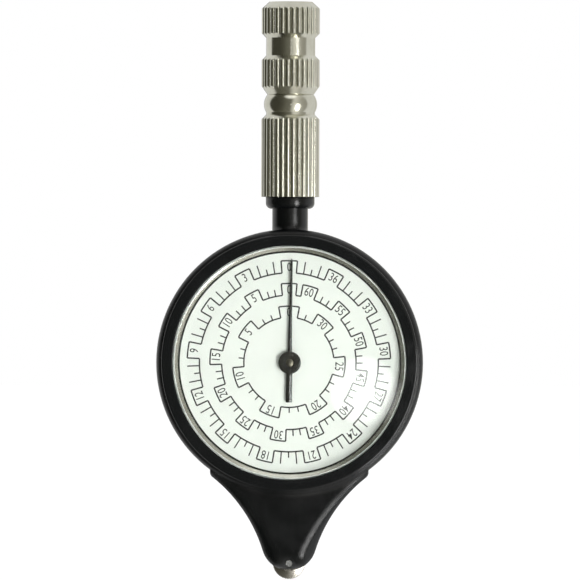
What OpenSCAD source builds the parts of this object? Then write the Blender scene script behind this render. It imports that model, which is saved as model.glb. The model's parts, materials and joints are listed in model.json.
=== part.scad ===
// Map measurer (opisometer). A tracing wheel turns two pointers through a 60 to 1 gear train.
// +Z runs up the handle and the front dial faces -Y. The origin is where the wheel meets the map.
// Depths are measured outward from the middle plane, and both faces share them.

/* [Tracing wheel] */
// Radius over the serrations: one turn rolls 16.51 mm, so 60 turns roll 39 inches
wheel_r = 2.628; // [2.4:0.02:2.8]
// Thickness of the wheel at its hub
wheel_t = 1.2; // [1:0.1:1.6]
// Thickness of the wheel at its rim
wheel_rim_t = 0.8; // [0.5:0.1:1]
// Radius of the wheel's hub
wheel_hub_r = 1.4; // [1.1:0.1:1.8]
// Number of serrations round the rim
wheel_serrations = 60; // [36:4:84]
// Depth of the serrations
serration_h = 0.1; // [0.05:0.01:0.15]
// Radius of the wheel's axle
axle_r = 0.5; // [0.4:0.05:0.6]
// How far the axle's ends stand out of the cheeks
axle_proud = 0.15; // [0:0.05:0.3]
// Radius of the spacer that centres the wheel on its axle
spacer_r = 0.85; // [0.7:0.05:0.9]

/* [Gear train] */
// Tooth module of the wheel pinion and the first gear
module_a = 0.14; // [0.13:0.005:0.145]
// Tooth module of the first pinion and the second gear
module_b = 0.41; // [0.39:0.01:0.42]
// Gap between the centre gear and the pillars, which sets that gear's module
gear_room = 0.85; // [0.6:0.05:1]
// Thickness of every gear and pinion
gear_t = 0.8; // [0.6:0.1:1]
// Gap between gears that turn in neighbouring layers
layer_gap = 0.3; // [0.25:0.05:0.4]
// Radius of both arbors
arbor_r = 0.6; // [0.5:0.05:0.7]
// Radius of the arbors' pivots
pivot_r = 0.35; // [0.25:0.05:0.45]
// Radius of the spindle
spindle_r = 0.9; // [0.7:0.05:1]
// Radius of the spindle's ends, which carry the hands
hand_seat_r = 0.6; // [0.45:0.05:0.65]
// Radius of the centre gear's hub
centre_hub_r = 2; // [1.6:0.1:2.4]
// Radius of the round windows in the large gears
window_r = 3.4; // [2.5:0.1:3.8]

/* [Movement frame] */
// Gap from the outer gear layers to the plates
plate_gap = 0.7; // [0.6:0.05:0.9]
// Thickness of a plate
plate_t = 0.5; // [0.4:0.05:0.7]
// Gap between a plate's round edge and the case
plate_rim_gap = 1.6; // [1:0.1:1.8]
// Gap between a plate's tongue and the tip housing
tongue_gap = 0.2; // [0.1:0.05:0.3]
// Distance from a plate's round edge to the pillars' axes
pillar_inset = 1.2; // [1.1:0.05:1.4]
// Radius of a pillar
pillar_r = 0.85; // [0.7:0.05:0.95]
// Radius of a screw's shank
screw_r = 0.5; // [0.35:0.05:0.55]
// Radius of a countersunk screw head
screw_head_r = 1.1; // [0.9:0.05:1.2]
// Depth of a screw head's cone
screw_head_h = 0.5; // [0.4:0.05:0.55]
// Length of a screw's shank below its head
screw_len = 2.5; // [2:0.1:2.9]
// Outer radius of a spindle bush
bush_r = 1.8; // [1.4:0.1:2]
// Radius of a bush's flange
bush_flange_r = 2.3; // [2.1:0.1:2.6]
// Thickness of a bush's flange
bush_flange_t = 0.2; // [0.15:0.05:0.25]

/* [Case] */
// Outer radius of the round case
case_r = 21.3; // [20.8:0.1:22]
// Wall of the round case
case_wall = 1.3; // [1.1:0.05:1.6]
// Radius of the curve that turns the case's edge back from the bezel
case_round = 1.7; // [1.3:0.1:2]
// Thickness of the shelf that carries the dial
shelf_t = 0.6; // [0.5:0.05:0.8]
// Width of the shelf inside the screws' heads
shelf_land = 0.3; // [0.2:0.05:0.6]
// Wall round the gears in the tip housing
tip_wall = 1; // [0.9:0.05:1.05]
// Front wall of the tip housing
tip_face_t = 1.4; // [1.2:0.1:1.7]
// Half of the tip housing's width at its shoulders
shoulder_x = 12.65; // [12:0.05:13]
// Height of the straight flank below the round case at each shoulder
shoulder_step = 0.86; // [0.6:0.02:1.1]
// Radius of the rounded corner at each shoulder
shoulder_round = 1; // [0.6:0.1:1.2]
// Radius of the hollow sides of the tip housing
side_r = 24.1; // [23:0.1:26]
// Radius of the tip's lower end
tip_end_r = 4.39; // [4.3:0.03:4.6]
// Height of the tip's end centre above the wheel's axle
tip_end_rise = 3.25; // [3.2:0.02:3.4]
// Width of the bevel on the tip's faces at the shoulders
bevel_top = 0.5; // [0.3:0.05:0.8]
// Width of the bevel on the tip's faces near the wheel
bevel_toe = 1.6; // [1.2:0.1:1.8]
// Radius of the bevel's inner edge
bevel_r = 34; // [30:1:40]
// Radius that rounds the tip's faces back towards the wheel
nose_r = 3.1; // [2.6:0.1:3.4]
// Gap round the wheel in its slot
wheel_clear = 0.35; // [0.25:0.05:0.4]
// Height up to which the slot is open at its sides
slot_open_z = 3.3; // [2.8:0.1:3.5]
// Width of the fine groove where the two case halves meet, in each half
seam_w = 0.1; // [0.05:0.01:0.15]
// Depth of that groove
seam_d = 0.12; // [0.05:0.01:0.2]

/* [Dials and crystals] */
// Thickness of a dial
dial_t = 0.4; // [0.3:0.05:0.6]
// Gap between a dial and the bezel's skirt round it
dial_gap = 0.1; // [0.05:0.01:0.2]
// Gap between the spindle and the hole in a dial
dial_hole_gap = 0.4; // [0.2:0.05:0.6]
// Width of the crystal's foot inside the bezel
foot_w = 0.15; // [0.1:0.05:0.25]
// Width of the ring that holds the crystal's foot out
ring_w = 0.8; // [0.6:0.05:1]
// Height of that ring at its inner edge
ring_in_h = 0.12; // [0.06:0.01:0.2]
// Height of that ring at its outer edge
ring_out_h = 0.4; // [0.3:0.05:0.6]
// Gap between the spindle's end and the crystal
crystal_gap = 0.25; // [0.15:0.05:0.4]
// Width that the bezel covers on the case's rim
bezel_lap = 0.45; // [0.3:0.05:0.5]
// Width of the bezel, from the crystal outward
bezel_w = 1.8; // [1.7:0.05:1.9]
// Height of the bezel's top over the crystal's middle
bezel_proud = 0.2; // [0.1:0.02:0.4]
// Radius of the bezel's rounded outer edge
bezel_round = 0.3; // [0.2:0.05:0.5]
// Radius of the bezel's rounded inner edge
bezel_in_round = 0.12; // [0.06:0.01:0.2]
// Wall of the bezel's skirt
skirt_t = 1; // [0.8:0.05:1.05]
// Height of the crystal's straight edge
crystal_edge_h = 0.45; // [0.3:0.05:0.5]
// Height of the crystal's bevel
crystal_bevel_h = 0.35; // [0.25:0.05:0.4]
// Width of the crystal's bevel
crystal_bevel_w = 0.25; // [0.15:0.05:0.4]
// Rise of the crystal's dome
crystal_dome_h = 0.3; // [0.2:0.02:0.34]

/* [Hands] */
// Gap from the dial to a hand
hand_gap = 0.4; // [0.35:0.05:0.5]
// Thickness of a hand at its ridge
hand_t = 0.45; // [0.35:0.05:0.5]
// Thickness of a hand at its edges
hand_edge_t = 0.15; // [0.1:0.01:0.2]
// Height that the spindle's ends stand out of the hands
pin_proud = 0.2; // [0.15:0.01:0.3]
// Gap from a hand's point to the ring round the dial
point_gap = 1.1; // [0.6:0.05:2]
// Half of a hand's width beside its hub
hand_root_w = 0.35; // [0.25:0.02:0.45]
// Half of a hand's width at its point
hand_tip_w = 0.1; // [0.08:0.01:0.14]
// Radius of a hand's hub
hand_hub_r = 1.8; // [1.4:0.1:2]
// Length of a hand's tail
tail_len = 6.35; // [5:0.05:7.5]
// Half of the tail's width
tail_w = 0.5; // [0.4:0.02:0.6]
// Angle at which the hands rest, clockwise from the front
hand_rest = 1; // [0:0.5:5]

/* [Stem and handle] */
// Radius of the stem
stem_r = 2.85; // [2.6:0.05:3.1]
// Length of the stem from the case to the handle
stem_len = 5.2; // [4.6:0.1:6.5]
// Width of the collar round the stem
collar_w = 1.05; // [1:0.05:1.3]
// Height of the collar
collar_h = 1.9; // [1.6:0.1:2.4]
// Radius of the collar's rounded lower edge
collar_round = 0.9; // [0.5:0.05:1]
// Radius of the stud that holds the handle
stud_r = 1.5; // [1.2:0.1:1.8]
// Depth of the stud in the stem
stud_down = 4.4; // [3.6:0.1:4.8]
// Depth of the stud in the handle
stud_up = 9; // [7:0.5:12]
// Radius of the handle over its flutes
handle_r = 4.64; // [4.4:0.04:5]
// Radius of the handle's necks
neck_r = 3.92; // [3.7:0.02:4.1]
// Number of flutes
flutes = 30; // [24:1:36]
// Radius of each rib between the flutes
rib_r = 0.5; // [0.45:0.01:0.6]
// Length of the long fluted grip
grip_len = 12.4; // [10:0.1:16]
// Length of the lower neck, with its bead
bead_zone_len = 5.3; // [5:0.1:6]
// Radius of the bead over its middle
bead_r = 4.25; // [4.1:0.01:4.35]
// Radius of the bead's rounded outline
bead_round = 2.5; // [2.2:0.1:3]
// Height of the bead's middle above the grip
bead_rise = 2.4; // [2.2:0.05:2.6]
// Radius at the bottom of the groove above the bead
groove_r = 3.7; // [3.5:0.02:3.9]
// Height of the cone from that groove to the fluted ring
groove_cone_h = 1.36; // [1.1:0.02:1.5]
// Length of the fluted ring in the middle
ring_len = 4.15; // [3:0.05:6]
// Length of the upper neck, chamfers included
neck_len = 4.3; // [3:0.05:6]
// Length of the fluted cap, without its chamfer
cap_len = 3.95; // [3:0.05:6]
// Height of the chamfer at the top
top_chamfer_h = 1.1; // [0.8:0.05:1.4]
// Width of the chamfer at the top
top_chamfer_w = 1.2; // [0.9:0.05:1.5]

/* [Hidden] */
$fn = 96;

// Teeth, which set the 60 to 1 reduction
PINION_TEETH = 12;
FIRST_TEETH = 48;
SECOND_TEETH = 36;
CENTRE_TEETH = 60;
PRESSURE_ANGLE = 25;
// Addendum and dedendum as shares of the module
ADDENDUM = 1;
DEDENDUM = 1.25;
BACKLASH = 0.06;
// Radial gap of a running fit, and the end shake left beside a turning part
RUNNING = 0.03;
END_SHAKE = 0.1;
// Distance that a cut runs past the face that it opens
PAST = 1;
// Reach of a block that is only there to be cut back
FAR = 60;
// Steps from the crystal's edge to its middle
DOME_STEPS = 8;

// Radii about the centre, from the case inward
cavity_r = case_r - case_wall;
bezel_r = cavity_r + bezel_lap;
bezel_in_r = bezel_r - bezel_w;
dial_r = cavity_r - skirt_t - dial_gap;
foot_in_r = bezel_in_r - foot_w;
ring_in_r = foot_in_r - ring_w;
hand_len = ring_in_r - point_gap;
plate_r = cavity_r - plate_rim_gap;
pillar_ring_r = plate_r - pillar_inset;
shelf_r = pillar_ring_r - screw_head_r - shelf_land;

// The centre gear fills the room inside the pillars
module_c = (pillar_ring_r - pillar_r - gear_room) / (CENTRE_TEETH / 2 + ADDENDUM);

// Heights of the four axes
axle_z = wheel_r;
first_z = axle_z + module_a * (PINION_TEETH + FIRST_TEETH) / 2;
second_z = first_z + module_b * (PINION_TEETH + SECOND_TEETH) / 2;
centre_z = second_z + module_c * (PINION_TEETH + CENTRE_TEETH) / 2;

tip_end_c = [0, axle_z + tip_end_rise];

// Depths from the middle plane outward
layer_in = wheel_t / 2 + layer_gap;
layer_out = layer_in + gear_t;
plate_in = layer_out + plate_gap;
plate_out = plate_in + plate_t;
shelf_out = plate_out + shelf_t;
dial_out = shelf_out + dial_t;
hand_in = dial_out + hand_gap;
pin_end = hand_in + hand_t + pin_proud;
flange = pin_end + crystal_gap;
bezel_top = flange + crystal_edge_h + crystal_bevel_h + crystal_dome_h + bezel_proud;
tip_face = plate_out + tip_face_t;
fork_in = layer_out + layer_gap;
nose_z = tip_end_c.y - tip_end_r + nose_r;
cheek_out = tip_face - nose_r + sqrt(nose_r * nose_r - pow(nose_z - axle_z, 2));
// Centre of the curve at the case's edge, which starts at the bezel
edge_c = [case_r - case_round, flange - sqrt(pow(case_round, 2) - pow(bezel_r - case_r + case_round, 2))];

// Outline of the tip housing, right half, seen from the front
shoulder_z = centre_z - sqrt(case_r * case_r - shoulder_x * shoulder_x) - shoulder_step;
shoulder_p = [shoulder_x, shoulder_z];
side_c = meet(tip_end_c, tip_end_r + side_r, shoulder_p, side_r);
toe_p = toe(tip_end_r);
bevel_c = meet(
    toe_p + bevel_toe * unit(toe_p - side_c), bevel_r,
    shoulder_p + bevel_top * unit(shoulder_p - side_c), bevel_r
);
// Centre of the rounding at the shoulder, which touches the flank and the hollow side
corner_x = shoulder_x - shoulder_round;
corner_rise = sqrt(pow(side_r + shoulder_round, 2) - pow(side_c.x - corner_x, 2));
corner_c = [corner_x, side_c.y + corner_rise];
// The room for the plates begins at the wheel's top
room_z = axle_z + wheel_r;
plate_end_z = room_z + wheel_clear;

// Heights up the stem and the handle
case_top_z = centre_z + case_r;
grip_z = case_top_z + stem_len;
grip_top_z = grip_z + grip_len;
bead_top_z = grip_top_z + bead_zone_len;
ring_top_z = bead_top_z + ring_len;
cap_z = ring_top_z + neck_len;
cap_top_z = cap_z + cap_len;
neck_step = handle_r - neck_r;
collar_r = stem_r + collar_w;

// Unit vector along v
function unit(v) = v / norm(v);

// Where a circle of radius r round the tip's end centre meets the hollow side
function toe(r) = tip_end_c + r * unit(side_c - tip_end_c);

// Where a circle round a meets a circle round b, on the right of the way from a to b
function meet(a, ra, b, rb) =
    let (
        d = norm(b - a),
        t = (ra * ra - rb * rb + d * d) / (2 * d),
        h = sqrt(ra * ra - t * t),
        u = (b - a) / d
    )
    a + t * u + h * [u.y, -u.x];

// Involute of an angle in degrees, in degrees
function involute(a) = tan(a) * 180 / PI - a;

// Half of a tooth's angle at radius r
function half_tooth(n, m, r) =
    let (pitch_r = n * m / 2, base_r = pitch_r * cos(PRESSURE_ANGLE))
    90 / n - BACKLASH / 4 / pitch_r * 180 / PI
    + involute(PRESSURE_ANGLE) - involute(acos(min(1, base_r / r)));

// Outline of an involute gear with a tooth centred on +X
function gear_outline(n, m) =
    let (
        pitch_r = n * m / 2,
        root_r = pitch_r - DEDENDUM * m,
        tip_r = pitch_r + ADDENDUM * m,
        flank_r = max(root_r, pitch_r * cos(PRESSURE_ANGLE)) + 0.02 * m,
        radii = [flank_r, (flank_r + tip_r) / 2, tip_r],
        half = [for (r = radii) half_tooth(n, m, r)],
        side = concat([[root_r, half[0]]], [for (i = [0:2]) [radii[i], half[i]]])
    )
    [for (k = [0:n - 1], p = concat(
        [for (s = side) [s[0], -s[1]]],
        [for (i = [3:-1:0]) side[i]]
    )) polar(p[0], p[1] + k * 360 / n)];

function polar(r, a) = [r * cos(a), r * sin(a)];

// Depth coordinates to the front face, with x to the right and y up
module front() {
    rotate([90, 0, 0]) children();
}

// Depth coordinates to the rear face
module rear() {
    mirror([0, 1, 0]) front() children();
}

// A slab from one y to another, drawn as seen from the front
module slab(y0, y1) {
    translate([0, y1, 0]) rotate([90, 0, 0]) linear_extrude(y1 - y0) children();
}

// A round bar along Y at height z
module bar(r, y0, y1, z) {
    translate([0, y0, z]) rotate([-90, 0, 0]) cylinder(r = r, h = y1 - y0);
}

// Toothed wheel with its bore: toward turns it so that a tooth or a gap meets its mate
module gear(n, m, y0, y1, z, bore_r, toward, windows = 0, window_ring_r = 0, hole_r = 0) {
    translate([0, 0, z]) slab(y0, y1) difference() {
        rotate(toward) polygon(gear_outline(n, m));
        circle(r = bore_r);
        for (k = [0:1:windows - 1]) rotate(k * 360 / windows) translate([window_ring_r, 0]) circle(r = hole_r);
    }
}

// Angle of a pinion with a tooth straight up, and of a gear with a gap straight down
function tooth_up(n) = 90;
function gap_down(n) = -90 + 180 / n;

// Outline of the tip housing, moved in by a wall
module tip_outline(inset = 0) {
    toe_z = toe(tip_end_r - inset).y;
    translate(tip_end_c) circle(r = tip_end_r - inset);
    difference() {
        translate([-shoulder_x + inset, toe_z]) square([2 * (shoulder_x - inset), centre_z - toe_z]);
        for (side = [-1, 1]) translate([side * side_c.x, side_c.y]) circle(r = side_r + inset, $fn = 360);
        if (inset < shoulder_round) for (side = [0, 1]) mirror([side, 0]) shoulder_corner(shoulder_round - inset);
    }
}

// What a rounding of radius r takes off a shoulder
module shoulder_corner(r) {
    foot = corner_c + r * unit(side_c - corner_c);
    difference() {
        polygon([corner_c, [shoulder_x + PAST, corner_c.y], [shoulder_x + PAST, foot.y], foot]);
        translate(corner_c) circle(r = r);
    }
}

// The tip housing's bevels and its rounded lower end, as a solid to keep
module tip_form() {
    difference() {
        union() {
            translate([0, 0, seam_w]) linear_extrude(tip_face - seam_w) tip_outline();
            linear_extrude(seam_w) tip_outline(seam_d);
        }
        for (side = [-1, 1]) translate([side * bevel_c.x, bevel_c.y, tip_face - bevel_toe - PAST])
            cylinder(r1 = bevel_r - bevel_toe - PAST, r2 = bevel_r + PAST, h = bevel_toe + 2 * PAST, $fn = 360);
        rotate([90, 0, 90]) translate([0, 0, -FAR / 2]) linear_extrude(FAR) difference() {
            translate([nose_z - nose_r - PAST, tip_face - nose_r]) square([nose_r + PAST, nose_r + PAST]);
            translate([nose_z, tip_face - nose_r]) circle(r = nose_r);
        }
    }
}

// The round case, solid, with an edge that curves back from the bezel
module round_form() {
    translate([0, centre_z, 0]) rotate_extrude($fn = 180) {
        square([case_r - seam_d, seam_w]);
        translate([0, seam_w]) square([case_r, edge_c.y - seam_w]);
        square([bezel_r, flange]);
        intersection() {
            translate(edge_c) circle(r = case_round);
            square([case_r + PAST, flange]);
        }
    }
}

// Places along the shelf where the screws clamp the plates
module at_pillars() {
    for (a = [90, 210, 330]) translate([pillar_ring_r * cos(a), centre_z + pillar_ring_r * sin(a)])
        children();
}

// Space for a screw's countersunk head, down to its shank
module screw_space(head_z) {
    translate([0, 0, head_z - screw_head_h]) cylinder(r1 = screw_r, r2 = screw_head_r, h = screw_head_h);
}

// One case half, in depth coordinates
module case_half() {
    difference() {
        union() {
            round_form();
            tip_form();
            intersection() {
                translate([0, centre_z, 0]) rotate([-90, 0, 0]) cylinder(r = stem_r, h = grip_z - centre_z);
                translate([-FAR / 2, 0, 0]) cube(FAR * 2);
            }
        }
        // Room for the plates and the gears
        translate([0, 0, -PAST]) linear_extrude(plate_out + PAST) {
            translate([0, centre_z]) circle(r = cavity_r, $fn = 180);
            intersection() {
                tip_outline(tip_wall);
                translate([-FAR / 2, room_z]) square(FAR);
            }
        }
        // Fork for the wheel, open below
        translate([0, 0, -PAST]) linear_extrude(fork_in + PAST) {
            tip_outline(tip_wall);
            translate([0, axle_z]) circle(r = wheel_r + wheel_clear);
            translate([-FAR / 2, slot_open_z - FAR]) square(FAR);
        }
        // Opening in the shelf, and the well for dial, ring and bezel
        translate([0, centre_z, plate_out - PAST]) cylinder(r = shelf_r, h = shelf_t + 2 * PAST, $fn = 180);
        translate([0, centre_z, shelf_out]) cylinder(r = cavity_r, h = FAR, $fn = 180);
        at_pillars() {
            translate([0, 0, plate_out - PAST]) cylinder(r = screw_r, h = shelf_t + 2 * PAST);
            screw_space(shelf_out);
        }
        translate([0, axle_z, -PAST]) cylinder(r = axle_r + RUNNING, h = FAR);
        translate([0, grip_z - stud_down, 0]) rotate([-90, 0, 0]) cylinder(r = stud_r, h = stud_down + PAST);
    }
}

module front_case() {
    color([0.05, 0.05, 0.055]) front() case_half();
}

module rear_case() {
    color([0.05, 0.05, 0.055]) rear() case_half();
}

// Flat-topped ring with rounded edges, and a skirt that presses into the case
module bezel() {
    land_w = bezel_w - bezel_in_round - bezel_round;
    translate([0, centre_z, 0]) rotate_extrude($fn = 180) {
        translate([cavity_r - skirt_t, shelf_out]) square([skirt_t, flange - shelf_out]);
        translate([bezel_in_r, flange]) square([bezel_w, bezel_top - bezel_round - flange]);
        translate([bezel_in_r, flange]) square([bezel_w / 2, bezel_top - bezel_in_round - flange]);
        translate([bezel_in_r + bezel_in_round, flange]) square([land_w, bezel_top - flange]);
        translate([bezel_in_r + bezel_in_round, bezel_top - bezel_in_round]) circle(r = bezel_in_round);
        translate([bezel_r - bezel_round, bezel_top - bezel_round]) circle(r = bezel_round);
    }
}

module front_bezel() {
    color([0.06, 0.06, 0.065]) front() bezel();
}

module rear_bezel() {
    color([0.06, 0.06, 0.065]) rear() bezel();
}

// Clear cap with a bevelled edge and a slight dome in narrow steps. Its foot stands on the
// dial, and the bezel holds the foot down
module crystal() {
    bevel_in_r = bezel_in_r - crystal_bevel_w;
    rim_z = flange + crystal_edge_h + crystal_bevel_h;
    dome_r = (bevel_in_r * bevel_in_r + crystal_dome_h * crystal_dome_h) / (2 * crystal_dome_h);
    foot = [
        [0, flange], [foot_in_r, flange], [foot_in_r, dial_out], [dial_r, dial_out],
        [dial_r, flange], [bezel_in_r, flange], [bezel_in_r, flange + crystal_edge_h]
    ];
    dome = [for (k = [DOME_STEPS:-1:0]) let (x = bevel_in_r * k / DOME_STEPS)
        [x, rim_z + crystal_dome_h - dome_r + sqrt(dome_r * dome_r - x * x)]];
    translate([0, centre_z, 0]) rotate_extrude($fn = 180) polygon(concat(foot, dome));
}

module front_crystal() {
    color([0.85, 0.9, 0.92, 0.3]) front() crystal();
}

module rear_crystal() {
    color([0.85, 0.9, 0.92, 0.3]) rear() crystal();
}

// Polished ring inside the crystal's foot, its face sloped towards the dial
module tension_ring() {
    translate([0, centre_z, dial_out]) rotate_extrude($fn = 180) polygon([
        [ring_in_r, 0], [foot_in_r, 0], [foot_in_r, ring_out_h], [ring_in_r, ring_in_h]
    ]);
}

module front_ring() {
    color([0.78, 0.76, 0.7]) front() tension_ring();
}

module rear_ring() {
    color([0.78, 0.76, 0.7]) rear() tension_ring();
}

module dial() {
    translate([0, centre_z, shelf_out]) linear_extrude(dial_t) difference() {
        circle(r = dial_r, $fn = 180);
        circle(r = spindle_r + dial_hole_gap);
    }
}

module front_dial() {
    color([0.9, 0.92, 0.88]) front() dial();
}

module rear_dial() {
    color([0.9, 0.92, 0.88]) rear() dial();
}

// Half of a ridged blade from the hub to its end, seen end on
module blade_end(half_w, y) {
    translate([0, y, 0]) rotate([90, 0, 0]) linear_extrude(0.01)
        polygon([[-half_w, 0], [half_w, 0], [half_w, hand_edge_t], [0, hand_edge_t + half_w / 2], [-half_w, hand_edge_t]]);
}

module hand() {
    translate([0, centre_z, hand_in]) rotate(-hand_rest) difference() {
        union() {
            cylinder(r = hand_hub_r, h = hand_t);
            hull() {
                blade_end(hand_root_w, hand_hub_r / 2);
                blade_end(hand_tip_w, hand_len);
            }
            hull() {
                blade_end(tail_w, -hand_hub_r / 2);
                blade_end(tail_w, tail_w - tail_len);
                blade_end(tail_w / 2, -tail_len + 0.01);
            }
        }
        translate([0, 0, -PAST]) cylinder(r = hand_seat_r, h = hand_t + 2 * PAST);
    }
}

module front_hand() {
    color([0.04, 0.04, 0.045]) front() hand();
}

module rear_hand() {
    color([0.04, 0.04, 0.045]) rear() hand();
}

// A movement plate with its tongue, pivot holes and screw holes
module plate() {
    translate([0, 0, plate_in]) linear_extrude(plate_t) difference() {
        union() {
            translate([0, centre_z]) circle(r = plate_r, $fn = 180);
            intersection() {
                tip_outline(tip_wall + tongue_gap);
                translate([-FAR / 2, plate_end_z]) square([FAR, centre_z - plate_end_z]);
            }
        }
        translate([0, first_z]) circle(r = pivot_r + RUNNING);
        translate([0, second_z]) circle(r = pivot_r + RUNNING);
        translate([0, centre_z]) circle(r = bush_r);
        at_pillars() circle(r = screw_r);
    }
}

module front_plate() {
    color([0.78, 0.62, 0.3]) front() plate();
}

module rear_plate() {
    color([0.78, 0.62, 0.3]) rear() plate();
}

module frame_pillars() {
    color([0.75, 0.6, 0.3]) rotate([90, 0, 0]) at_pillars() translate([0, 0, -plate_in])
        difference() {
            cylinder(r = pillar_r, h = 2 * plate_in);
            translate([0, 0, -PAST]) cylinder(r = screw_r, h = 2 * (plate_in + PAST));
        }
}

// Countersunk screws through shelf and plate into the pillars
module screws() {
    slot_w = screw_r / 2;
    at_pillars() difference() {
        union() {
            screw_space(shelf_out);
            translate([0, 0, shelf_out - screw_head_h - screw_len]) cylinder(r = screw_r, h = screw_len);
        }
        translate([-screw_head_r, -slot_w / 2, shelf_out - slot_w]) cube([2 * screw_head_r, slot_w, slot_w + PAST]);
    }
}

module frame_screws() {
    color([0.6, 0.6, 0.62]) {
        front() screws();
        rear() screws();
    }
}

module bush() {
    translate([0, centre_z, plate_in - bush_flange_t]) difference() {
        union() {
            cylinder(r = bush_flange_r, h = bush_flange_t);
            cylinder(r = bush_r, h = bush_flange_t + plate_t);
        }
        translate([0, 0, -PAST]) cylinder(r = spindle_r + RUNNING, h = plate_in);
    }
}

module spindle_bushes() {
    color([0.8, 0.62, 0.28]) {
        front() bush();
        rear() bush();
    }
}

// Half of the spindle's turned outline, with a domed end
module spindle_profile() {
    dome_h = hand_seat_r / 4;
    dome_r = (hand_seat_r * hand_seat_r + dome_h * dome_h) / (2 * dome_h);
    square([spindle_r, hand_in]);
    square([hand_seat_r, pin_end - dome_h]);
    intersection() {
        translate([0, pin_end - dome_r]) circle(r = dome_r);
        translate([0, hand_in]) square([hand_seat_r, pin_end]);
    }
}

module centre_spindle() {
    color([0.76, 0.64, 0.36]) {
        front() translate([0, centre_z, 0]) rotate_extrude() spindle_profile();
        rear() translate([0, centre_z, 0]) rotate_extrude() spindle_profile();
    }
}

module centre_gear() {
    hub_y = plate_in - bush_flange_t - END_SHAKE;
    window_ring_r = (CENTRE_TEETH * module_c / 2 + centre_hub_r) / 2;
    color([0.8, 0.65, 0.32]) {
        gear(CENTRE_TEETH, module_c, -gear_t / 2, gear_t / 2, centre_z, spindle_r,
            gap_down(CENTRE_TEETH), 6, window_ring_r, window_r);
        translate([0, 0, centre_z]) slab(-hub_y, hub_y) difference() {
            circle(r = centre_hub_r);
            circle(r = spindle_r);
        }
    }
}

// An arbor with a pivot at each end
module arbor(z) {
    shoulder_y = plate_in - END_SHAKE;
    bar(arbor_r, -shoulder_y, shoulder_y, z);
    bar(pivot_r, -plate_out, plate_out, z);
}

module second_arbor() {
    color([0.62, 0.62, 0.64]) arbor(second_z);
}

module second_gear() {
    window_ring_r = (SECOND_TEETH * module_b / 2 + arbor_r) / 2;
    color([0.8, 0.65, 0.32]) gear(SECOND_TEETH, module_b, -layer_out, -layer_in, second_z, arbor_r,
        gap_down(SECOND_TEETH), 5, window_ring_r, window_r / 2);
}

module second_pinion() {
    color([0.62, 0.62, 0.64]) gear(PINION_TEETH, module_c, -gear_t / 2, gear_t / 2, second_z, arbor_r,
        tooth_up(PINION_TEETH));
}

module first_arbor() {
    color([0.62, 0.62, 0.64]) arbor(first_z);
}

module first_gear() {
    color([0.8, 0.65, 0.32]) gear(FIRST_TEETH, module_a, layer_in, layer_out, first_z, arbor_r,
        gap_down(FIRST_TEETH));
}

module first_pinion() {
    color([0.62, 0.62, 0.64]) gear(PINION_TEETH, module_b, -layer_out, -layer_in, first_z, arbor_r,
        tooth_up(PINION_TEETH));
}

module tracing_wheel() {
    step = 180 / wheel_serrations;
    rim = [for (k = [0:2 * wheel_serrations - 1])
        polar(wheel_r - (k % 2) * serration_h, -90 + k * step)];
    color([0.7, 0.71, 0.72]) translate([0, 0, axle_z]) difference() {
        union() {
            slab(-wheel_rim_t / 2, wheel_rim_t / 2) polygon(rim);
            slab(-wheel_t / 2, wheel_t / 2) circle(r = wheel_hub_r);
        }
        slab(-wheel_t, wheel_t) circle(r = axle_r);
    }
}

module wheel_axle() {
    color([0.72, 0.72, 0.72]) bar(axle_r, -cheek_out - axle_proud, cheek_out + axle_proud, axle_z);
}

module wheel_pinion() {
    color([0.62, 0.62, 0.64]) {
        gear(PINION_TEETH, module_a, layer_in, layer_out, axle_z, axle_r, tooth_up(PINION_TEETH));
        translate([0, 0, axle_z]) slab(wheel_t / 2, layer_in) ring_2d(axle_r + module_a);
        translate([0, 0, axle_z]) slab(layer_out, fork_in - END_SHAKE) ring_2d(axle_r + module_a);
    }
}

module ring_2d(outer_r) {
    difference() {
        circle(r = outer_r);
        circle(r = axle_r);
    }
}

module axle_spacer() {
    color([0.78, 0.62, 0.3]) translate([0, 0, axle_z]) slab(-fork_in + END_SHAKE, -wheel_t / 2)
        ring_2d(spacer_r);
}

// Ring with a rounded lower edge, slipped over the two halves of the stem
module stem_collar() {
    color([0.05, 0.05, 0.055]) translate([0, 0, grip_z - collar_h]) rotate_extrude() difference() {
        union() {
            translate([stem_r, collar_round]) square([collar_r - stem_r, collar_h - collar_round]);
            translate([stem_r, 0]) square([collar_r - collar_round - stem_r, collar_h]);
            translate([collar_r - collar_round, collar_round]) circle(r = collar_round);
        }
        square([stem_r, collar_h]);
    }
}

module handle_stud() {
    color([0.6, 0.6, 0.62]) translate([0, 0, grip_z - stud_down]) cylinder(r = stud_r, h = stud_down + stud_up);
}

// Turned outline of the handle
module handle_profile() {
    polygon([
        [0, grip_z], [handle_r, grip_z], [handle_r, grip_top_z],
        [neck_r, grip_top_z + neck_step], [groove_r, bead_top_z - groove_cone_h],
        [handle_r, bead_top_z], [handle_r, ring_top_z], [neck_r, ring_top_z + neck_step],
        [neck_r, cap_z - neck_step], [handle_r, cap_z], [handle_r, cap_top_z],
        [handle_r - top_chamfer_w, cap_top_z + top_chamfer_h], [0, cap_top_z + top_chamfer_h]
    ]);
    intersection() {
        translate([bead_r - bead_round, grip_top_z + bead_rise]) circle(r = bead_round);
        translate([0, grip_top_z]) square([bead_r, bead_zone_len]);
    }
}

// One turned bar, with ribs along its three thick zones
module handle() {
    core_r = handle_r - rib_r;
    total = cap_top_z + top_chamfer_h - grip_z;
    color([0.78, 0.76, 0.7]) difference() {
        intersection() {
            rotate_extrude() handle_profile();
            translate([0, 0, grip_z]) linear_extrude(total) {
                circle(r = core_r);
                for (k = [0:flutes - 1]) rotate(-90 + (k + 0.5) * 360 / flutes) translate([core_r, 0])
                    circle(r = rib_r, $fn = 32);
            }
        }
        translate([0, 0, grip_z - PAST]) cylinder(r = stud_r, h = stud_up + PAST);
    }
}

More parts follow.
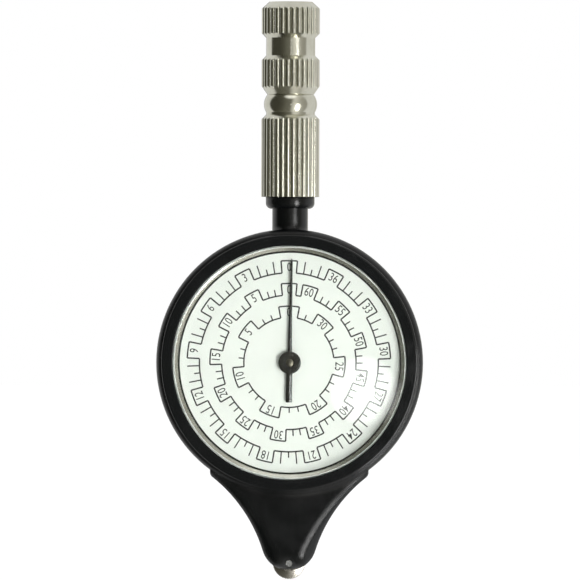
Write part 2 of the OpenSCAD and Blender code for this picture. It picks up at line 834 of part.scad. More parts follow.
front_case();
rear_case();
front_bezel();
rear_bezel();
front_crystal();
rear_crystal();
front_ring();
rear_ring();
front_dial();
rear_dial();
front_hand();
rear_hand();
front_plate();
rear_plate();
frame_pillars();
frame_screws();
spindle_bushes();
centre_spindle();
centre_gear();
second_arbor();
second_gear();
second_pinion();
first_arbor();
first_gear();
first_pinion();
tracing_wheel();
wheel_axle();
wheel_pinion();
axle_spacer();
stem_collar();
handle_stud();
handle();
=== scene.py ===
"""Looks of a hand-held map measurer with a dial on each side.

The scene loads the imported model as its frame, gives every part a finish,
puts finer pieces over the parts that the eye rests on, and sets up the
camera and a white studio.  Lengths inside the parts are in millimetres,
and those of the finishes and the lamps in metres.
"""
import json
import logging
import math
from dataclasses import dataclass
from enum import Enum

import bmesh
import bpy
from mathutils import Matrix, Vector

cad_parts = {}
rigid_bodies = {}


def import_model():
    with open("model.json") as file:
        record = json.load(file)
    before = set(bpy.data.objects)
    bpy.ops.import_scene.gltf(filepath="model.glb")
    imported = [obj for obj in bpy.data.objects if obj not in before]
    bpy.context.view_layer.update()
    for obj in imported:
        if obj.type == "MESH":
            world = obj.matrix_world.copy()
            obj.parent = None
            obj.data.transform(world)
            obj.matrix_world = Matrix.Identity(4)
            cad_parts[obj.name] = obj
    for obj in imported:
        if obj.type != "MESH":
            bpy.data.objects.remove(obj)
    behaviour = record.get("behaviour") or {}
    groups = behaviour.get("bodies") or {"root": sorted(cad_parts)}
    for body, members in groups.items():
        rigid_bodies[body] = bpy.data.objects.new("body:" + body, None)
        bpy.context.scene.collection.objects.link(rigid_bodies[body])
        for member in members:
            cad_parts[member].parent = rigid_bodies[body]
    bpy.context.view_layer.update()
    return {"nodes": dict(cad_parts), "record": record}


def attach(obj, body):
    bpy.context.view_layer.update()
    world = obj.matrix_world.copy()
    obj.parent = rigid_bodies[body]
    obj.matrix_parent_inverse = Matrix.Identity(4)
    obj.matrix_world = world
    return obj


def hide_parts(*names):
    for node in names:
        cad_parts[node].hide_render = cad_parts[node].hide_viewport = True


LOG = logging.getLogger("map_measurer")
MM = 0.001
TURN = 2.0 * math.pi
CENTRE_Z = 34.668
AXLE_Z = 2.628
DIAL_FACE = 3.9

Triple = tuple[float, float, float]
Colour = tuple[float, float, float]
Band = tuple[float, float]
Profile = list[tuple[float, float]]
Stops = tuple[tuple[float, Colour], ...]
Socket = bpy.types.NodeSocket

WHITE: Colour = (1.0, 1.0, 1.0)
EVEN: Triple = (1.0, 1.0, 1.0)


class Side(Enum):
    """The two faces of the case: which way each looks along Y."""

    FRONT = -1
    REAR = 1

    def place(self, u: float, v: float, out: float) -> Vector:
        """The point u to the viewer's right of the centre, v above it, out of the case."""
        return Vector((-self.value * u, self.value * out, CENTRE_Z + v)) * MM

    @property
    def label(self) -> str:
        """The word that starts the names of the pieces on this side."""
        return self.name.lower()


# ---------------------------------------------------------------- finishes


class Sheet:
    """A material's node sheet, with short calls to add and join nodes."""

    BEVEL_SAMPLES = 6
    GRIME_SAMPLES = 8
    # How far the eased and the true normal agree, from a worn edge to a flat
    EDGE_AGREES: Band = (0.90, 0.985)
    EDGE_PATCHES: Band = (0.42, 0.62)
    # How open a groove is, and the share of the colour that the painted shade leaves there
    GROOVE_OPEN: Band = (0.3, 0.72)
    GROOVE_KEEPS: Band = (0.22, 1.0)

    def __init__(self, tree: bpy.types.NodeTree, output: str) -> None:
        """Clear a node sheet and give it its output.

        Args:
            tree: the sheet's node tree.
            output: the output node's type without the ShaderNode prefix.
        """
        self.tree = tree
        self.owner: bpy.types.Material | None = None
        self.tree.nodes.clear()
        self.out = self.add(output)

    @classmethod
    def material(cls, name: str) -> "Sheet":
        """Make a new material with an empty sheet.

        Args:
            name: the material's name.

        Returns:
            The sheet, which knows its material.
        """
        made = bpy.data.materials.new(name)
        made.use_nodes = True
        sheet = cls(made.node_tree, "OutputMaterial")
        sheet.owner = made
        return sheet

    def add(self, kind: str, inputs: dict | None = None, **props: object) -> bpy.types.Node:
        """Add one node.

        Args:
            kind: the node's type without the ShaderNode prefix.
            inputs: values, or sockets to join, by input name or index.
            props: settings of the node itself.

        Returns:
            The new node.
        """
        node = self.tree.nodes.new("ShaderNode" + kind)
        for key, value in props.items():
            setattr(node, key, value)
        for key, value in (inputs or {}).items():
            socket = node.inputs[key]
            if isinstance(value, Socket):
                self.tree.links.new(value, socket)
            else:
                socket.default_value = value
        return node

    def calc(self, operation: str, first: Socket, second: Socket | float) -> Socket:
        """The result of one sum on two values."""
        return self.add("Math", {0: first, 1: second}, operation=operation).outputs[0]

    def agree(self, first: Socket, second: Socket | Vector) -> Socket:
        """The dot product of two directions."""
        node = self.add("VectorMath", {0: first, 1: second}, operation="DOT_PRODUCT")
        return node.outputs["Value"]

    def scaled(self, colour: Socket | Colour, share: Socket) -> Socket:
        """A colour times a share."""
        node = self.add("VectorMath", {0: colour, "Scale": share}, operation="SCALE")
        return node.outputs[0]

    def coords(self, scale: Triple = EVEN) -> Socket:
        """The object's own coordinates, stretched by scale per axis."""
        where = self.add("TexCoord").outputs["Object"]
        return self.add("Mapping", {"Vector": where, "Scale": scale}).outputs[0]

    def noise(self, scale: float, detail: float, rough: float = 0.5,
              stretch: Triple = EVEN) -> Socket:
        """Add a noise field.

        Args:
            scale: its grains per metre.
            detail: how many finer layers it has.
            rough: how strong each finer layer is.
            stretch: scale of each axis, below 1 for streaks along it.

        Returns:
            The field, from 0 to 1.
        """
        return self.add("TexNoise", {"Vector": self.coords(stretch), "Scale": scale,
                                     "Detail": detail, "Roughness": rough}).outputs[0]

    def spread(self, value: Socket, low: float, high: float, band: Band) -> Socket:
        """The value mapped from the band to low..high, held at both ends."""
        return self.add("MapRange", {0: value, 1: band[0], 2: band[1],
                                     3: low, 4: high}).outputs[0]

    def blend(self, share: Socket, first: Colour, second: Colour) -> Socket:
        """Mix two colours.

        Args:
            share: the share of the second colour.
            first: the colour at no share.
            second: the colour at full share.

        Returns:
            The mixed colour.
        """
        node = self.add("Mix", data_type="RGBA")
        node.inputs[6].default_value = (*first, 1)
        node.inputs[7].default_value = (*second, 1)
        self.tree.links.new(share, node.inputs[0])
        return node.outputs[2]

    def ramp(self, value: Socket, stops: Stops) -> Socket:
        """Turn a value from -1 to 1 into a colour.

        Args:
            value: the value.
            stops: pairs of a value and its colour, in rising order.

        Returns:
            The colour.
        """
        node = self.add("ValToRGB", {0: self.spread(value, 0.0, 1.0, (-1.0, 1.0))})
        steps = node.color_ramp.elements
        while len(steps) < len(stops):
            steps.new(1.0)
        for step, (place, colour) in zip(steps, stops):
            step.position, step.color = (place + 1.0) / 2.0, (*colour, 1)
        return node.outputs[0]

    def bump(self, height: Socket, strength: float, reach: float,
             base: Socket | None = None) -> Socket:
        """Turn a height field into a shading normal.

        Args:
            height: the height field.
            strength: how strong the bumps are.
            reach: how deep they are, in metres.
            base: the normal under them, if it isn't the surface's own.

        Returns:
            The normal.
        """
        inputs = {"Height": height, "Strength": strength, "Distance": reach}
        if base is not None:
            inputs["Normal"] = base
        return self.add("Bump", inputs).outputs[0]

    def rounded(self, radius: float) -> Socket:
        """The shading normal of edges eased to this radius in metres."""
        return self.add("Bevel", {"Radius": radius}, samples=self.BEVEL_SAMPLES).outputs[0]

    def worn_edges(self, eased: Socket, patchy: Socket) -> Socket:
        """Find the edges that fingers rub, in broken patches.

        Args:
            eased: the eased normal.
            patchy: a noise field that breaks the mask up.

        Returns:
            A mask: one where an edge is worn, nothing on flats.
        """
        true = self.add("NewGeometry").outputs["Normal"]
        edge = self.spread(self.agree(eased, true), 1.0, 0.0, self.EDGE_AGREES)
        return self.calc("MULTIPLY", edge, self.spread(patchy, 0.0, 1.0, self.EDGE_PATCHES))

    def grimed(self, colour: Socket, reach: float) -> Socket:
        """Darken a colour with painted shade in the grooves and hollows.

        Args:
            colour: the colour before the painted shade.
            reach: how wide a groove may be, in metres.

        Returns:
            The colour with the painted shade.
        """
        # Painted shade: an occlusion mask darkens the colour where the surface is closed in
        groove = self.add("AmbientOcclusion", {"Distance": reach}, samples=self.GRIME_SAMPLES)
        keep = self.spread(groove.outputs["AO"], *self.GROOVE_KEEPS, self.GROOVE_OPEN)
        return self.scaled(colour, keep)

    def finish(self, shader: bpy.types.Node) -> bpy.types.Material:
        """Join the shader to the output and return the material."""
        self.tree.links.new(shader.outputs[0], self.out.inputs[0])
        return self.owner


@dataclass(frozen=True)
class Moulding:
    """Glossy moulded plastic, with a faint orange peel and fine rubs."""

    name: str
    colour: Colour
    rub: Colour
    gloss: float = 0.05
    dull: float = 0.11
    ease: float = 0.0013
    hair_dull: float = 0.03
    peel: float = 0.02
    peel_reach: float = 0.0002
    ior: float = 1.46
    cloud_scale: float = 260.0
    hair_scale: float = 900.0
    peel_scale: float = 650.0
    cloud_band: Band = (0.35, 0.75)
    hair_band: Band = (0.55, 0.8)
    hair_stretch: Triple = (1.0, 1.0, 0.08)

    def make(self) -> bpy.types.Material:
        """Build the material."""
        s = Sheet.material(self.name)
        cloud = s.noise(self.cloud_scale, 4.0)
        hair = s.noise(self.hair_scale, 2.0, stretch=self.hair_stretch)
        rough = s.calc("ADD", s.spread(cloud, self.gloss, self.dull, self.cloud_band),
                       s.spread(hair, 0.0, self.hair_dull, self.hair_band))
        peel = s.noise(self.peel_scale, 2.0)
        eased = s.rounded(self.ease)
        shader = s.add("BsdfPrincipled", {
            "Base Color": s.blend(s.worn_edges(eased, cloud), self.colour, self.rub),
            "Roughness": rough, "IOR": self.ior,
            "Normal": s.bump(peel, self.peel, self.peel_reach, eased)})
        return s.finish(shader)


@dataclass(frozen=True)
class Metal:
    """Plated, turned or milled metal with fine tool marks, a few dull spots and, where asked,
    painted shade in its grooves.
    """

    name: str
    colour: Colour
    dark: Colour
    gloss: float = 0.1
    dull: float = 0.25
    marks: Triple = EVEN
    mark_scale: float = 4000.0
    mark_depth: float = 0.04
    mark_reach: float = 0.00005
    # How far the painted shade in the grooves reaches, in metres; none at 0
    grime: float = 0.0
    cloud_scale: float = 330.0
    stain_band: Band = (0.35, 0.8)
    dull_band: Band = (0.3, 0.75)

    def make(self) -> bpy.types.Material:
        """Build the material."""
        s = Sheet.material(self.name)
        cloud = s.noise(self.cloud_scale, 5.0, 0.6)
        marks = s.noise(self.mark_scale, 2.0, stretch=self.marks)
        colour = s.blend(s.spread(cloud, 0.0, 1.0, self.stain_band), self.colour, self.dark)
        # Painted shade: the colour is darkened in the grooves
        if self.grime:
            colour = s.grimed(colour, self.grime)
        shader = s.add("BsdfPrincipled", {
            "Base Color": colour,
            "Metallic": 1.0,
            "Roughness": s.spread(cloud, self.gloss, self.dull, self.dull_band),
            "Normal": s.bump(marks, self.mark_depth, self.mark_reach)})
        return s.finish(shader)


@dataclass(frozen=True)
class Lacquer:
    """Sprayed lacquer or ink on a flat plate."""

    name: str
    colour: Colour
    mottle: Colour
    rough: float = 0.5
    grain: float = 0.05
    grain_reach: float = 0.00004
    uneven: float = 0.06
    cloud_scale: float = 400.0
    grain_scale: float = 5200.0
    mottle_band: Band = (0.35, 0.75)
    rough_band: Band = (0.3, 0.7)

    def make(self) -> bpy.types.Material:
        """Build the material."""
        s = Sheet.material(self.name)
        cloud = s.noise(self.cloud_scale, 4.0)
        fine = s.noise(self.grain_scale, 2.0)
        mottled = s.spread(cloud, 0.0, 1.0, self.mottle_band)
        shader = s.add("BsdfPrincipled", {
            "Base Color": s.blend(mottled, self.colour, self.mottle),
            "Roughness": s.spread(cloud, self.rough - self.uneven, self.rough + self.uneven,
                                  self.rough_band),
            "Normal": s.bump(fine, self.grain, self.grain_reach)})
        return s.finish(shader)


@dataclass(frozen=True)
class Acrylic:
    """Clear polished acrylic with hair scratches, and shadows let through."""

    name: str
    tint: Colour = (0.985, 0.995, 0.99)
    ior: float = 1.49
    hair_scale: float = 1500.0
    hair_stretch: Triple = (1.0, 1.0, 0.05)
    hair_depth: float = 0.01
    hair_reach: float = 0.00002

    def make(self) -> bpy.types.Material:
        """Build the material."""
        s = Sheet.material(self.name)
        hair = s.noise(self.hair_scale, 3.0, 0.6, self.hair_stretch)
        glass = s.add("BsdfGlass", {
            "Color": (*self.tint, 1), "Roughness": 0.0, "IOR": self.ior,
            "Normal": s.bump(hair, self.hair_depth, self.hair_reach)})
        clear = s.add("BsdfTransparent", {"Color": (*self.tint, 1)})
        shadow = s.add("LightPath").outputs["Is Shadow Ray"]
        return s.finish(s.add("MixShader", {0: shadow, 1: glass.outputs[0],
                                            2: clear.outputs[0]}))


Finish = Moulding | Metal | Lacquer | Acrylic

# The finishes of the record's slots, then those that only new pieces show.
FINISHES: dict[str, Finish] = {
    "case_black": Moulding("black_moulding", (0.0024, 0.0029, 0.0032), (0.012, 0.012, 0.012)),
    "bezel_black": Moulding("black_bezel", (0.0032, 0.0038, 0.0042), (0.012, 0.012, 0.012),
                            gloss=0.04, dull=0.10, ease=0.00012),
    "crystal": Acrylic("clear_acrylic"),
    "dial_white": Lacquer("dial_lacquer", (0.82, 0.84, 0.79), (0.79, 0.81, 0.76), rough=0.55),
    "hand_black": Lacquer("hand_lacquer", (0.006, 0.006, 0.006), (0.016, 0.014, 0.011),
                          rough=0.2, grain=0.06),
    "brass": Metal("milled_brass", (0.72, 0.56, 0.27), (0.55, 0.42, 0.2), gloss=0.2, dull=0.4),
    "steel": Metal("turned_steel", (0.56, 0.57, 0.58), (0.4, 0.41, 0.42), gloss=0.18,
                   dull=0.35),
    # The wheel and the nickel plate get painted shade in their grooves
    "wheel_steel": Metal("wheel_steel", (0.46, 0.44, 0.40), (0.24, 0.22, 0.19), gloss=0.22,
                         dull=0.36, grime=0.0004),
    "nickel": Metal("nickel_plate", (0.72, 0.71, 0.62), (0.62, 0.61, 0.51), gloss=0.13,
                    dull=0.23, marks=(0.15, 0.15, 1.0), mark_scale=9000.0, mark_depth=0.05,
                    grime=0.0005),
    "ink": Lacquer("dial_ink", (0.006, 0.007, 0.006), (0.012, 0.012, 0.011), rough=0.45),
    "polish": Metal("ring_polish", (0.62, 0.60, 0.55), (0.56, 0.54, 0.48), gloss=0.16,
                    dull=0.22, mark_scale=2500.0, mark_depth=0.02),
    "aged": Metal("aged_brass", (0.15, 0.14, 0.11), (0.09, 0.08, 0.06), gloss=0.3, dull=0.45),
}


class Paints:
    """Makes each finish once and hands it out."""

    def __init__(self) -> None:
        """Start with none made."""
        self.made: dict[str, bpy.types.Material] = {}

    def get(self, finish: str) -> bpy.types.Material:
        """The material of a finish, made when it is first asked for."""
        if finish not in self.made:
            self.made[finish] = FINISHES[finish].make()
        return self.made[finish]


# ------------------------------------------------------------ mesh helpers


def new_piece(name: str, mesh: bpy.types.Mesh, body: str,
              paint: bpy.types.Material) -> bpy.types.Object:
    """Put a mesh in the scene as a piece that rides on a body.

    Args:
        name: the piece's name.
        mesh: its mesh, in the frame's metres.
        body: the body that carries it.
        paint: the material that it shows.

    Returns:
        The new object.
    """
    piece = bpy.data.objects.new(name, mesh)
    bpy.context.scene.collection.objects.link(piece)
    mesh.materials.append(paint)
    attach(piece, body)
    LOG.info("piece %s: %d faces on %s", name, len(mesh.polygons), body)
    return piece


def soften(mesh: bpy.types.Mesh, degrees: float) -> None:
    """Shade a mesh smooth but for edges sharper than degrees."""
    mesh.shade_smooth()
    mesh.set_sharp_from_angle(angle=math.radians(degrees))


@dataclass
class Turning:
    """A body of revolution about the line out of the dial's centre."""

    side: Side
    steps: int = 192
    on_axis: float = 1e-6
    smooth_below: float = 30.0

    def mesh(self, name: str, profile: Profile, closed: bool = True) -> bpy.types.Mesh:
        """Turn a profile into a mesh.

        Args:
            name: the mesh's name.
            profile: points of radius and height out of the middle plane.
            closed: whether the last point joins the first.

        Returns:
            The mesh, shaded smooth but for its corners.
        """
        bm = bmesh.new()
        rings = [self._ring(bm, radius, out) for radius, out in profile]
        pairs = list(zip(rings, rings[1:])) + ([(rings[-1], rings[0])] if closed else [])
        for low, high in pairs:
            self._skin(bm, low, high)
        bmesh.ops.recalc_face_normals(bm, faces=bm.faces)
        mesh = bpy.data.meshes.new(name)
        bm.to_mesh(mesh)
        bm.free()
        soften(mesh, self.smooth_below)
        return mesh

    def _ring(self, bm: bmesh.types.BMesh, radius: float, out: float) -> list:
        """Set out one ring of points.

        Args:
            bm: the mesh under work.
            radius: the ring's radius.
            out: its height out of the middle plane.

        Returns:
            The ring's points, or the one point on the axis.
        """
        if radius < self.on_axis:
            return [bm.verts.new(self.side.place(0, 0, out))]
        return [bm.verts.new(self.side.place(radius * math.cos(TURN * k / self.steps),
                                             radius * math.sin(TURN * k / self.steps), out))
                for k in range(self.steps)]

    def _skin(self, bm: bmesh.types.BMesh, low: list, high: list) -> None:
        """Join two rings with faces.

        Args:
            bm: the mesh under work.
            low: the first ring, or a single point.
            high: the second ring, or a single point.
        """
        if len(low) == 1 and len(high) == 1:
            return
        for k in range(self.steps):
            n = (k + 1) % self.steps
            corners = [low[k % len(low)], low[n % len(low)],
                       high[n % len(high)], high[k % len(high)]]
            bm.faces.new(list(dict.fromkeys(corners)))


# ------------------------------------------------------------------- parts


@dataclass
class Crystal:
    """The clear cap over a dial: a low dome, a bevelled rim and a foot."""

    side: Side
    foot_r: float = 18.5
    outer_r: float = 18.9
    edge_r: float = 18.52
    dome_r: float = 18.34
    foot: float = 3.92
    flange: float = 5.2
    edge_h: float = 0.45
    bevel_h: float = 0.35
    rise: float = 0.3
    dome_steps: int = 12

    def profile(self) -> Profile:
        """The cap's section from its middle underside round to the apex."""
        shoulder = self.flange + self.edge_h
        rim = shoulder + self.bevel_h
        section = [(0.0, self.flange), (self.foot_r, self.flange), (self.foot_r, self.foot),
                   (self.outer_r, self.foot), (self.outer_r, self.flange),
                   (self.edge_r, self.flange), (self.edge_r, shoulder), (self.dome_r, rim)]
        for k in range(1, self.dome_steps + 1):
            share = 1.0 - k / self.dome_steps
            section.append((self.dome_r * share, rim + self.rise * (1.0 - share * share)))
        return section

    def build(self, paints: Paints) -> None:
        """Make the cap in place of the solid one.

        Args:
            paints: where the finish comes from.
        """
        node = f"{self.side.label}_crystal"
        mesh = Turning(self.side).mesh(node, self.profile(), closed=False)
        piece = new_piece(f"{node}_cap", mesh, "case", paints.get("crystal"))
        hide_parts(node)


@dataclass
class TensionRing:
    """The ring that holds the crystal's foot out, sloped down to a black strip of painted
    shadow on the dial.
    """

    side: Side
    low: float = DIAL_FACE
    inner_r: float = 17.8
    outer_r: float = 18.49
    inner_h: float = 0.17
    outer_h: float = 0.4
    lip: float = 0.06
    toe: float = 0.04
    seat_gap: float = 0.01
    # A thin black strip on the dial at the ring's foot, painted as the shadow in the gap
    # between them
    seal_r: float = 17.5
    seal_h: float = 0.07
    seal_gap: float = 0.005
    seal_lap: float = 0.02
    seal_slope: float = 0.05

    def build(self, paints: Paints) -> None:
        """Make the ring in place of the solid one, and the black strip of painted shadow at
        its foot.

        Args:
            paints: where the finishes come from.
        """
        node = f"{self.side.label}_ring"
        mesh = Turning(self.side).mesh(node, self.ring_profile())
        piece = new_piece(f"{node}_polished", mesh, "case", paints.get("polish"))
        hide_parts(node)
        # The black strip is painted shadow in the gap between the dial and the ring
        painted_shadow_strip = Turning(self.side).mesh(f"{node}_seal", self.seal_profile())
        new_piece(f"{node}_seal", painted_shadow_strip, "case", paints.get("hand_black"))

    def ring_profile(self) -> Profile:
        """The ring's section, from its inner foot outwards and back over the slope."""
        top = self.low + self.outer_h
        return [(self.inner_r, self.low + self.seat_gap),
                (self.outer_r, self.low + self.seat_gap),
                (self.outer_r, top - self.seat_gap), (self.outer_r - self.lip, top),
                (self.inner_r + self.toe, self.low + self.inner_h),
                (self.inner_r, self.low + self.inner_h - self.toe)]

    def seal_profile(self) -> Profile:
        """The section of the painted shadow strip, tucked a little under the ring's foot."""
        back = self.inner_r + self.seal_lap
        return [(self.seal_r, self.low + self.seal_gap), (back, self.low + self.seal_gap),
                (back, self.low + self.seal_h),
                (self.seal_r + self.seal_slope, self.low + self.seal_h)]


@dataclass
class Scale:
    """One printed scale: a stepped line with a number in each box."""

    units: float
    step: int
    last: int
    base_r: float
    box_r: float
    tick_r: float
    half_box: float
    long_ticks: tuple[float, ...]
    short_ticks: tuple[float, ...]

    def angle(self, value: float) -> float:
        """The angle of a value, counter-clockwise from the top."""
        return TURN * value / self.units


@dataclass
class Print:
    """The scales printed on one dial, as a thin film of ink."""

    side: Side
    scales: list[Scale]
    out: float = DIAL_FACE
    film: float = 0.008
    line: float = 0.235
    tick: float = 0.2
    arc_step: float = 1.5
    digit_h: float = 1.34
    digit_share: float = 0.69
    digit_swell: float = 0.006
    digit_steps: int = 3
    narrow: float = 0.76
    shift: tuple[float, float] = (-0.12, 0.05)

    def build(self, paints: Paints) -> None:
        """Draw every scale and its numbers as one piece.

        Args:
            paints: where the ink comes from.
        """
        bm = bmesh.new()
        for scale in self.scales:
            self._scale(bm, scale)
        for scale in self.scales:
            self._numbers(bm, scale)
        mesh = bpy.data.meshes.new(f"{self.side.label}_scales")
        bm.to_mesh(mesh)
        bm.free()
        new_piece(f"{self.side.label}_dial_print", mesh, "case",
                  paints.get("ink"))

    def _spot(self, x: float, y: float) -> Vector:
        """A point of the print, x to the right and y above the scales' centre."""
        return self.side.place(x, y, self.out + self.film)

    def _arc(self, bm: bmesh.types.BMesh, radius: float, start: float, end: float) -> None:
        """Draw an arc of the stepped line.

        Args:
            bm: the mesh under work.
            radius: the arc's radius.
            start: its first angle.
            end: its last angle, greater than the first.
        """
        pieces = max(1, math.ceil((end - start) / math.radians(self.arc_step)))
        low, high = [], []
        for k in range(pieces + 1):
            a = start + (end - start) * k / pieces
            for row, r in ((low, radius - self.line / 2), (high, radius + self.line / 2)):
                row.append(bm.verts.new(self._spot(self.shift[0] - r * math.sin(a),
                                                   self.shift[1] + r * math.cos(a))))
        for k in range(pieces):
            bm.faces.new((low[k], high[k], high[k + 1], low[k + 1]))

    def _bar(self, bm: bmesh.types.BMesh, angle: float, low: float, high: float,
             width: float) -> None:
        """Draw a straight radial line.

        Args:
            bm: the mesh under work.
            angle: the line's angle.
            low: the radius at its inner end.
            high: the radius at its outer end.
            width: its width.
        """
        half = width / 2
        side = Vector((math.cos(angle), math.sin(angle)))
        along = Vector((-math.sin(angle), math.cos(angle)))
        verts = []
        for across, up in ((-half, low), (half, low), (half, high), (-half, high)):
            p = side * across + along * up + Vector(self.shift)
            verts.append(bm.verts.new(self._spot(p.x, p.y)))
        bm.faces.new(verts)

    def _scale(self, bm: bmesh.types.BMesh, scale: Scale) -> None:
        """Draw one scale's stepped line and ticks.

        Args:
            bm: the mesh under work.
            scale: the scale to draw.
        """
        values = list(range(0, scale.last + 1, scale.step))
        for value, after in zip(values, values[1:] + [scale.units]):
            low, high = value - scale.half_box, value + scale.half_box
            end = after - scale.half_box
            self._arc(bm, scale.box_r, scale.angle(low), scale.angle(high))
            for edge in (low, high):
                self._bar(bm, scale.angle(edge), scale.base_r, scale.box_r, self.line)
            self._arc(bm, scale.base_r, scale.angle(high), scale.angle(end))
            for ticks, radius in ((scale.long_ticks, scale.box_r),
                                  (scale.short_ticks, scale.tick_r)):
                for off in ticks:
                    if value + off < end:
                        self._bar(bm, scale.angle(value + off), scale.base_r, radius,
                                  self.tick)

    def _numbers(self, bm: bmesh.types.BMesh, scale: Scale) -> None:
        """Set each box's number, its top outwards.

        Args:
            bm: the mesh under work.
            scale: the scale that the numbers belong to.
        """
        middle = (scale.base_r + scale.box_r) / 2
        for value in range(0, scale.last + 1, scale.step):
            curve = self._curve(str(value))
            word = bpy.data.objects.new("number", curve)
            bpy.context.scene.collection.objects.link(word)
            bpy.context.view_layer.update()
            self._press(bm, word.to_mesh(), scale.angle(value), middle)
            word.to_mesh_clear()
            bpy.data.objects.remove(word)
            bpy.data.curves.remove(curve)

    def _curve(self, digits: str) -> bpy.types.TextCurve:
        """Set a number in type.

        Args:
            digits: the number's digits.

        Returns:
            The outlines, centred on the origin.
        """
        curve = bpy.data.curves.new("number", "FONT")
        curve.body = digits
        curve.size = self.digit_h / self.digit_share
        curve.align_x, curve.align_y = "CENTER", "CENTER"
        curve.offset = self.digit_swell
        curve.resolution_u = self.digit_steps
        return curve

    def _press(self, bm: bmesh.types.BMesh, flat: bpy.types.Mesh, angle: float,
               radius: float) -> None:
        """Print a flat shape on the dial.

        Args:
            bm: the mesh under work.
            flat: the shape, centred on the origin and upright.
            angle: the angle that it turns to.
            radius: the radius that its middle goes to.
        """
        tops = [v.co.y for v in flat.vertices]
        mid = (max(tops) + min(tops)) / 2
        index = {}
        for v in flat.vertices:
            across, up = v.co.x * self.narrow, v.co.y - mid + radius
            x = across * math.cos(angle) - up * math.sin(angle) + self.shift[0]
            y = across * math.sin(angle) + up * math.cos(angle) + self.shift[1]
            index[v.index] = bm.verts.new(self._spot(x, y))
        for p in flat.polygons:
            bm.faces.new([index[i] for i in p.vertices])


@dataclass
class Hand:
    """A pointer: a ridged blade with a blunt tail under a round hub."""

    side: Side
    length: float = 16.6
    tail: float = 6.35
    root_w: float = 0.35
    tip_w: float = 0.15
    tip_len: float = 0.4
    point_w: float = 0.03
    tail_w: float = 0.5
    tail_end_share: float = 0.82
    tail_ease: float = 0.12
    hub_r: float = 1.8
    hub_shoulder: tuple[tuple[float, float], ...] = (
        (0.0, 0.16), (0.05, 0.07), (0.14, 0.02), (0.3, 0.0))
    hub_steps: int = 96
    bore_r: float = 0.62
    bore_ease_r: float = 0.8
    bore_ease_h: float = 0.03
    base: float = 4.3
    thick: float = 0.45
    edge: float = 0.12
    pitch: float = 0.35
    lean: float = 1.0
    smooth_below: float = 25.0

    def build(self, paints: Paints) -> None:
        """Make the hand in place of the solid one.

        Args:
            paints: where the finish comes from.
        """
        node = f"{self.side.label}_hand"
        mesh = self._hub()
        bm = bmesh.new()
        bm.from_mesh(mesh)
        self._blade(bm)
        bm.to_mesh(mesh)
        bm.free()
        soften(mesh, self.smooth_below)
        piece = new_piece(f"{node}_ridged", mesh, "pointer_set",
                          paints.get("hand_black"))
        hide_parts(node)

    def _hub(self) -> bpy.types.Mesh:
        """The turned hub, with a rounded shoulder round the spindle's end."""
        top = self.base + self.thick
        shoulder = [(self.hub_r - inward, top - down) for inward, down in self.hub_shoulder]
        profile = [(self.bore_r, self.base), (self.hub_r, self.base), *shoulder,
                   (self.bore_ease_r, top), (self.bore_r, top - self.bore_ease_h)]
        return Turning(self.side, self.hub_steps).mesh(f"{self.side.label}_hub", profile)

    def _row(self, bm: bmesh.types.BMesh, along: float, half: float) -> list:
        """Set out the blade's section at one place.

        Args:
            bm: the mesh under work.
            along: the distance from the hub, negative in the tail.
            half: half of the blade's width there.

        Returns:
            The section's five points: two edges' feet and tops, and the ridge.
        """
        turn = math.radians(self.lean) * -self.side.value
        ridge = self.edge + half * self.pitch
        row = []
        for across, rise in ((-half, 0.0), (-half, self.edge), (0.0, ridge),
                             (half, self.edge), (half, 0.0)):
            u = across * math.cos(turn) + along * math.sin(turn)
            v = along * math.cos(turn) - across * math.sin(turn)
            row.append(bm.verts.new(self.side.place(u, v, self.base + rise)))
        return row

    def _blade(self, bm: bmesh.types.BMesh) -> None:
        """Add the blade from tail to tip: flat underneath, a roof ridge on top.

        Args:
            bm: the mesh that holds the hub.
        """
        stations = [(-self.tail, self.tail_w * self.tail_end_share),
                    (-self.tail + self.tail_ease, self.tail_w), (-self.hub_r, self.tail_w),
                    (0.0, self.tail_w), (self.hub_r, self.root_w),
                    (self.length - self.tip_len, self.tip_w), (self.length, self.point_w)]
        rows = [self._row(bm, along, half) for along, half in stations]
        made = []
        for low, high in zip(rows, rows[1:]):
            for k in range(len(low)):
                n = (k + 1) % len(low)
                made.append(bm.faces.new((low[k], low[n], high[n], high[k])))
        made.append(bm.faces.new(rows[0]))
        made.append(bm.faces.new(list(reversed(rows[-1]))))
        bmesh.ops.recalc_face_normals(bm, faces=made)


